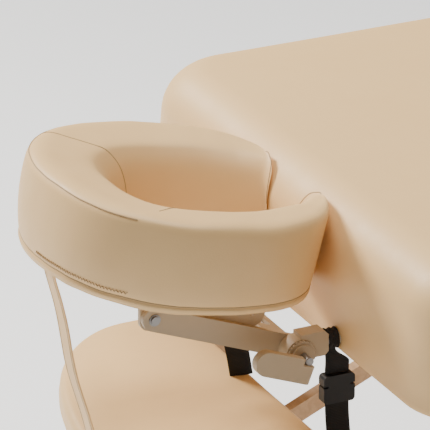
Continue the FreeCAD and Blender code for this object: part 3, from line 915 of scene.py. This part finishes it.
    def wrinkled(self, point: Vector) -> Vector:
        """Move a point by the soft unevenness of stretched leather.

        Args:
            point: A point in the frame.

        Returns:
            The moved point, clear of the table.
        """
        fine = noise.noise(point * 55.0) * 0.3 + noise.noise(point * 19.0)
        push = self.wrinkle * fine
        return self.pressed(point + Vector((push * 0.6, push * 0.8, push)))

    def pressed(self, point: Vector) -> Vector:
        """Keep a point clear of the table's end and of its rounded top edge.

        Args:
            point: A point in the frame.

        Returns:
            The point, moved softly back along X where it would enter the table.
        """
        above = self.hold * max(0.0, min(self.table_edge, point.z - TOP_Z + self.table_edge))
        limit = HEAD_X - self.clear + self.table_edge - math.sqrt(self.table_edge ** 2 - above ** 2)
        past = point.x - limit
        return Vector((point.x - 0.5 * (past + math.hypot(past, self.softness)), point.y, point.z))

    def surface_line(self, offset_part: float, offset: float, height: float, start: float, end: float,
                     count: int, lift: float) -> list[Vector]:
        """Return a line on the cushion at one place of its section.

        Args:
            offset_part: Share of the way across, from the inner side.
            offset: Metres added to that.
            height: Height above the underside.
            start: Share of the way round where the line starts.
            end: Share of the way round where it ends.
            count: How many points.
            lift: How far the line stands proud, away from the ring's middle.

        Returns:
            The points, in the frame.
        """
        line = []
        for index in range(count):
            share = start + (end - start) * index / (count - 1)
            inside, outside = share_along(self.inner_line, share), share_along(self.outer_line, share)
            across = outside - inside
            width = across.length
            across.normalize()
            reach = self.reach(offset_part, offset, width) + lift
            flat = inside + across * reach + Vector((0.0, 0.0, height))
            line.append(self.wrinkled(self.tilted(self.leaned(flat))))
        return line

    def build(self, finishes: Finishes) -> None:
        """Build and dress the cushion, its welt and its stitches.

        Args:
            finishes: The materials.
        """
        cushion = loft("face_cushion_cover", self.rings())
        modify(cushion, "SUBSURF", levels=1, render_levels=1)
        smooth(cushion, 60.0)
        dress(cushion, finishes.leather, "platform", ["face_cushion"])
        seam = self.surface_line(1.0, -0.0028, 0.0855, 0.34, 0.72, 160, 0.0)
        self.thread("cushion_rim_seam", seam, 0.0006, finishes)
        low = self.surface_line(1.0, -0.0022, 0.0086, 0.01, 0.99, 260, 0.0)
        self.thread("cushion_hem_seam", low, 0.0005, finishes)
        for name, share, first, last in (("near_arm", 0.335, 5, 10), ("forehead", 0.665, 4, 13),
                                         ("near_tip", 0.0, 5, 18), ("far_tip", 1.0, 5, 18)):
            self.thread(f"cushion_{name}_seam", self.across_seam(share, first, last), 0.0005, finishes)
        self.stitches(finishes)

    def across_seam(self, share: float, first: int, last: int) -> list[Vector]:
        """Find a line across the cushion's surface.

        Args:
            share: How far round the cushion the line lies.
            first: The place in the section where it starts.
            last: The place in the section where it ends.

        Returns:
            The line's points, in the frame.
        """
        section, first, last = self.outline(share), self.smoothing * first, self.smoothing * last
        return [self.wrinkled(self.tilted(point)) for point in section[first:last + 1]]

    def thread(self, name: str, path: Sequence[Vector], radius: float, finishes: Finishes) -> None:
        """Lay one thin sewn line."""
        dress(tube(name, path, radius, 6), finishes.thread, "platform")

    def stitches(self, finishes: Finishes) -> None:
        """Sew the zigzag above the front of the hem.

        Args:
            finishes: The materials.
        """
        count = 70
        low = self.surface_line(1.0, -0.0004, 0.0125, 0.34, 0.50, count, 0.0003)
        high = self.surface_line(1.0, 0.0001, 0.0150, 0.34, 0.50, count, 0.0003)
        zigzag = [(low if index % 2 else high)[index] for index in range(count)]
        self.thread("cushion_zigzag", zigzag, 0.00045, finishes)


@dataclass
class ArmShelf:
    """The padded top of the arm shelf: a half oval in front and small rounded corners behind."""

    nose: float = 0.162
    back_radius: float = 0.012
    crown: float = 0.0030
    edge: float = 0.010
    flat: float = 0.034

    def ring(self, low: Vector, high: Vector, inset: float, z: float) -> list[Vector]:
        """Return the plan's outline inset all round.

        Args:
            low: The pad's lowest corner.
            high: The pad's highest corner.
            inset: How far in from the edge.
            z: The ring's height.

        Returns:
            The outline's points.
        """
        widest, half = low.x + self.nose, high.y - inset
        nose, back = self.nose - inset, high.x - inset
        points = []
        for step in range(97):
            turn = math.radians(90.0 + 180.0 * step / 96)
            points.append(Vector((widest + nose * math.cos(turn), half * math.sin(turn), z)))
        radius = max(self.back_radius - inset, 0.001)
        for side in Side:
            corner = []
            for step in range(9):
                turn = math.radians(90.0 * step / 8)
                corner.append(Vector((back - radius + radius * math.cos(turn),
                                      side.value * (half - radius + radius * math.sin(turn)), z)))
            points += corner[::-1] if side is Side.NEAR else corner
            if side is Side.NEAR:
                start = Vector((back, -half + radius, z))
                points += [start.lerp(Vector((back, half - radius, z)), step / 40) for step in range(1, 40)]
        return points

    def build(self, finishes: Finishes) -> None:
        """Build and dress the pad.

        Args:
            finishes: The materials.
        """
        low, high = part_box("arm_shelf_pad")
        thick = high.z - low.z
        rows = [(0.030, 0.0), (0.004, 0.0), (0.0010, 0.0008), (-0.0006, 0.0030), (0.0002, 0.0052),
                (-0.0008, 0.0085)]
        for step in range(7):
            turn = math.pi / 2 * step / 6
            rows.append((self.edge * (1 - math.cos(turn)), thick - self.edge * (1 - math.sin(turn))))
        for share in (0.15, 0.35, 0.6, 1.0):
            rows.append((self.edge + share * self.flat, thick + self.crown * math.sin(share * math.pi / 2)))
        rings = [[self.dented(point) for point in self.ring(low, high, inset, low.z + height)]
                 for inset, height in rows]
        pad = loft("arm_shelf_cover", rings)
        smooth(pad, 50.0)
        dress(pad, finishes.leather, "arm_shelf", ["arm_shelf_pad"])

    def dented(self, point: Vector) -> Vector:
        """Return a point moved by the pad's soft unevenness."""
        return point + Vector((0.0, 0.0, 0.0008 * noise.noise(point * 14.0)))


def ribbon(name: str, path: Sequence[Vector], width: Vector, halves: Sequence[float],
           thick: float) -> bpy.types.Object:
    """Make a flat strap along a path.

    Args:
        name: The piece's name.
        path: The strap's middle line.
        width: The direction across the strap.
        halves: The half width at each point.
        thick: The strap's thickness.

    Returns:
        The piece.
    """
    rings = []
    last = len(path) - 1
    for index, point in enumerate(path):
        run = (path[min(index + 1, last)] - path[max(index - 1, 0)]).normalized()
        face = run.cross(width).normalized()
        half = halves[index]
        edge = min(thick * 0.35, half * 0.4)
        ring = []
        for across, out in ((-half, -0.15), (-half + edge, -0.5), (-half * 0.5, -0.5), (0.0, -0.5),
                            (half * 0.5, -0.5), (half - edge, -0.5), (half, -0.15), (half, 0.15),
                            (half - edge, 0.5), (half * 0.5, 0.5), (0.0, 0.5), (-half * 0.5, 0.5),
                            (-half + edge, 0.5), (-half, 0.15)):
            ring.append(point + width * across + face * (out * thick))
        rings.append(ring)
    return loft(name, rings)


@dataclass
class FrontStrap:
    """The leather strap from the cradle's nose to the front of the arm shelf."""

    sway: float = 0.0014
    thick: float = 0.0019
    seam_inset: float = 0.003

    def build(self, finishes: Finishes) -> None:
        """Build and dress the strap.

        Args:
            finishes: The materials.
        """
        low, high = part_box("front_strap")
        top = Vector((low.x + 0.0012, 0.0, high.z - 0.0005))
        bend = Vector((high.x - 0.0012, 0.0, low.z + 0.034))
        end = Vector((high.x - 0.0012, 0.0, low.z + 0.0005))
        middle = top.lerp(bend, 0.5) - Vector((0.002, 0.0, 0.0))
        line = curve_through([top, top + Vector((0.0004, 0.0, -0.010)), middle, bend, end], 18)
        path = []
        for index, point in enumerate(line):
            share = index / (len(line) - 1)
            ease = math.sin(math.pi * share)
            path.append(point + Vector((self.sway * ease * math.sin(share * 21.0), 0.0, 0.0)))
        half = (high.y - low.y) / 2
        halves = [half * (0.985 + 0.015 * math.sin(index * 0.9)) for index in range(len(path))]
        strap = ribbon("front_strap_leather", path, Vector((0.0, 1.0, 0.0)), halves, self.thick)
        smooth(strap, 45.0)
        dress(strap, finishes.leather, "front_strap_body", ["front_strap"])
        for side in Side:
            aside = Vector((-self.thick * 0.5, side.value * (half - self.seam_inset), 0.0))
            edge = [point + aside for point in path]
            seam = tube(f"front_strap_seam_{side.name.lower()}", edge, 0.0004, 6)
            dress(seam, finishes.thread, "front_strap_body")


@dataclass
class ArmStraps:
    """The two black webbing straps that hang the arm shelf from the cradle's poles."""

    pole_y: float = 0.1245
    pole_z: float = -0.131
    pole_radius: float = 0.008
    start: float = -0.013
    gathered: float = 0.011
    wide: float = 0.026
    thick: float = 0.0022
    buckle_top: float = -0.170
    buckle_tall: float = 0.030
    shelf_top: float = -0.281
    slant: float = 0.016
    near_share: float = 0.3
    steps: int = 24
    loop_steps: int = 36
    pleat: float = 0.0007

    def build(self, finishes: Finishes) -> None:
        """Build and dress both straps.

        Args:
            finishes: The materials.
        """
        for side in Side:
            stands_for = ["arm_straps"] if side is Side.FAR else []
            loop = self.loop(side)
            smooth(loop, 50.0)
            dress(loop, finishes.webbing, "cradle_frame", stands_for)
            for piece in (self.tail(side), self.lower(side)):
                smooth(piece, 50.0)
                dress(piece, finishes.webbing, "cradle_frame")

    def loop(self, side: Side) -> bpy.types.Object:
        """Gather the webbing round the pole.

        Args:
            side: The side of the table.

        Returns:
            The piece.
        """
        rings = []
        radius = self.pole_radius + 0.0001
        for step in range(self.loop_steps):
            turn = 2.0 * math.pi * step / self.loop_steps
            out = Vector((0.0, math.cos(turn), math.sin(turn)))
            centre = place(0.0, side.value * self.pole_y, self.pole_z)
            ring = []
            for part in range(9):
                share = part / 8
                pleat = self.pleat * math.sin(share * 12.6 + step * 0.3)
                ring.append(centre + out * (radius + self.thick + pleat)
                            + Vector((self.start + self.gathered * share, 0.0, 0.0)))
            for share in (1.0, 0.5, 0.0):
                ring.append(centre + out * radius + Vector((self.start + self.gathered * share, 0.0, 0.0)))
            rings.append(ring)
        return loft(f"arm_strap_loop_{side.name.lower()}", rings, looped=True)

    def tail(self, side: Side) -> bpy.types.Object:
        """Make the doubled tail that widens from the pole to the buckle.

        Args:
            side: The side of the table.

        Returns:
            The piece.
        """
        y = side.value * self.pole_y
        top = self.pole_z - self.pole_radius - 0.0002
        path, halves = [], []
        for step in range(self.steps + 1):
            share = step / self.steps
            z = top + (self.buckle_top - 0.001 - top) * share
            grow = min(1.0, max(0.0, (share - 0.12) / 0.5))
            grow = grow * grow * (3.0 - 2.0 * grow)
            half = (self.gathered + (self.wide - self.gathered) * grow) / 2
            path.append(place(self.start + half, y + 0.0004 * math.sin(share * 9.0), z))
            halves.append(half)
        name = f"arm_strap_tail_{side.name.lower()}"
        return ribbon(name, path, Vector((1.0, 0.0, 0.0)), halves, 2 * self.thick)

    def lower(self, side: Side) -> bpy.types.Object:
        """Make the straight run from the buckle to the shelf.

        Args:
            side: The side of the table.

        Returns:
            The piece.
        """
        y = side.value * self.pole_y
        top = self.buckle_top - self.buckle_tall + 0.001
        slant = self.slant * (self.near_share if side is Side.NEAR else 1.0)
        path = []
        for step in range(self.steps + 1):
            share = step / self.steps
            sway = 0.0010 * math.sin(share * 7.0)
            path.append(place(self.start + self.wide / 2 + slant * share, y + sway,
                              top + (self.shelf_top + 0.0004 - top) * share))
        name = f"arm_strap_lower_{side.name.lower()}"
        return ribbon(name, path, Vector((1.0, 0.0, 0.0)), [self.wide / 2] * len(path), self.thick)


# The room


@dataclass
class Studio:
    """The camera, the soft lights and the pale floor."""

    eye: tuple[float, float, float] = (-2.06233, -4.18001, 1.93775)
    heading: float = 1.12676
    dip: float = 0.40301
    lens: float = 425.98
    sensor: float = 36.0

    def build(self) -> None:
        """Set up the camera, lights, world and floor."""
        self.camera()
        self.light("key", (-1.35, 2.3, 1.9), (-0.1, 0.0, -0.1), 1.0, 165.0, (1.0, 0.98, 0.94))
        self.light("fill", (-2.6, -1.8, 1.2), (-0.1, 0.0, -0.1), 1.2, 9.0, (1.0, 0.97, 0.93))
        self.light("top", (0.2, 0.3, 2.6), (0.2, 0.0, 0.0), 1.6, 72.0, (1.0, 0.985, 0.95))
        world = bpy.data.worlds.new("studio")
        world.use_nodes = True
        background = world.node_tree.nodes["Background"]
        background.inputs["Color"].default_value = (1.0, 0.995, 0.985, 1.0)
        background.inputs["Strength"].default_value = 0.10
        bpy.context.scene.world = world
        self.floor()

    def camera(self) -> None:
        """Create the camera and make it the scene's."""
        data = bpy.data.cameras.new("view")
        data.lens = self.lens
        data.sensor_width = self.sensor
        data.clip_end = 100.0
        camera = bpy.data.objects.new("view", data)
        bpy.context.scene.collection.objects.link(camera)
        camera.location = place(*self.eye)
        level = math.cos(self.dip)
        forward = Vector((level * math.cos(self.heading), level * math.sin(self.heading), -math.sin(self.dip)))
        camera.rotation_euler = forward.to_track_quat("-Z", "Y").to_euler()
        bpy.context.scene.camera = camera

    def light(self, name: str, spot: Colour, target: Colour, size: float, power: float, colour: Colour) -> None:
        """Add one square soft light.

        Args:
            name: The light's name.
            spot: Where it hangs.
            target: What it points at.
            size: Its side.
            power: Its power in watts.
            colour: Its colour.
        """
        data = bpy.data.lights.new(name, "AREA")
        data.shape = "SQUARE"
        data.size = size
        data.energy = power
        data.color = colour
        lamp = bpy.data.objects.new(name, data)
        bpy.context.scene.collection.objects.link(lamp)
        lamp.location = place(*spot)
        lamp.rotation_euler = (place(*target) - lamp.location).to_track_quat("-Z", "Y").to_euler()

    def floor(self) -> None:
        """Lay the pale floor."""
        deselect()
        bpy.ops.mesh.primitive_plane_add(size=40.0, location=(0.0, 0.0, -0.0005))
        floor = bpy.context.object
        floor.name = "studio_floor"
        shader = Shader("studio_floor")
        speck = shader.noise(3.0, 2.0)
        colour = shader.mix(speck, (0.93, 0.93, 0.93), (0.95, 0.95, 0.95))
        floor.data.materials.append(shader.finish(colour, 0.9, None, 0.0, Emission_Strength=0.5,
                                                  Emission_Color=(1.0, 1.0, 1.0, 1.0)))


def dress_nodes(finishes: Finishes) -> None:
    """Give every CAD node the material of its slot.

    Args:
        finishes: The materials.
    """
    slots = {part["node"]: part["material_slot"] for part in frame["record"]["subparts"]}
    for name, piece in frame["nodes"].items():
        material = finishes.for_node(name, slots[name])
        if piece.data.materials:
            for index in range(len(piece.data.materials)):
                piece.material_slots[index].material = material
        else:
            piece.data.materials.append(material)
        LOG.info("%s: %s", name, material.name)


def main() -> None:
    """Build the visual model."""
    logging.basicConfig(level=logging.INFO, format="%(name)s: %(message)s")
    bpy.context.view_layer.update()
    Studio().build()
    finishes = Finishes()
    dress_nodes(finishes)
    Upholstery("head", -1).build(finishes)
    Upholstery("foot", 1).build(finishes)
    FaceCushion().build(finishes)
    ArmShelf().build(finishes)
    FrontStrap().build(finishes)
    ArmStraps().build(finishes)


if __name__ == "__main__":
    main()
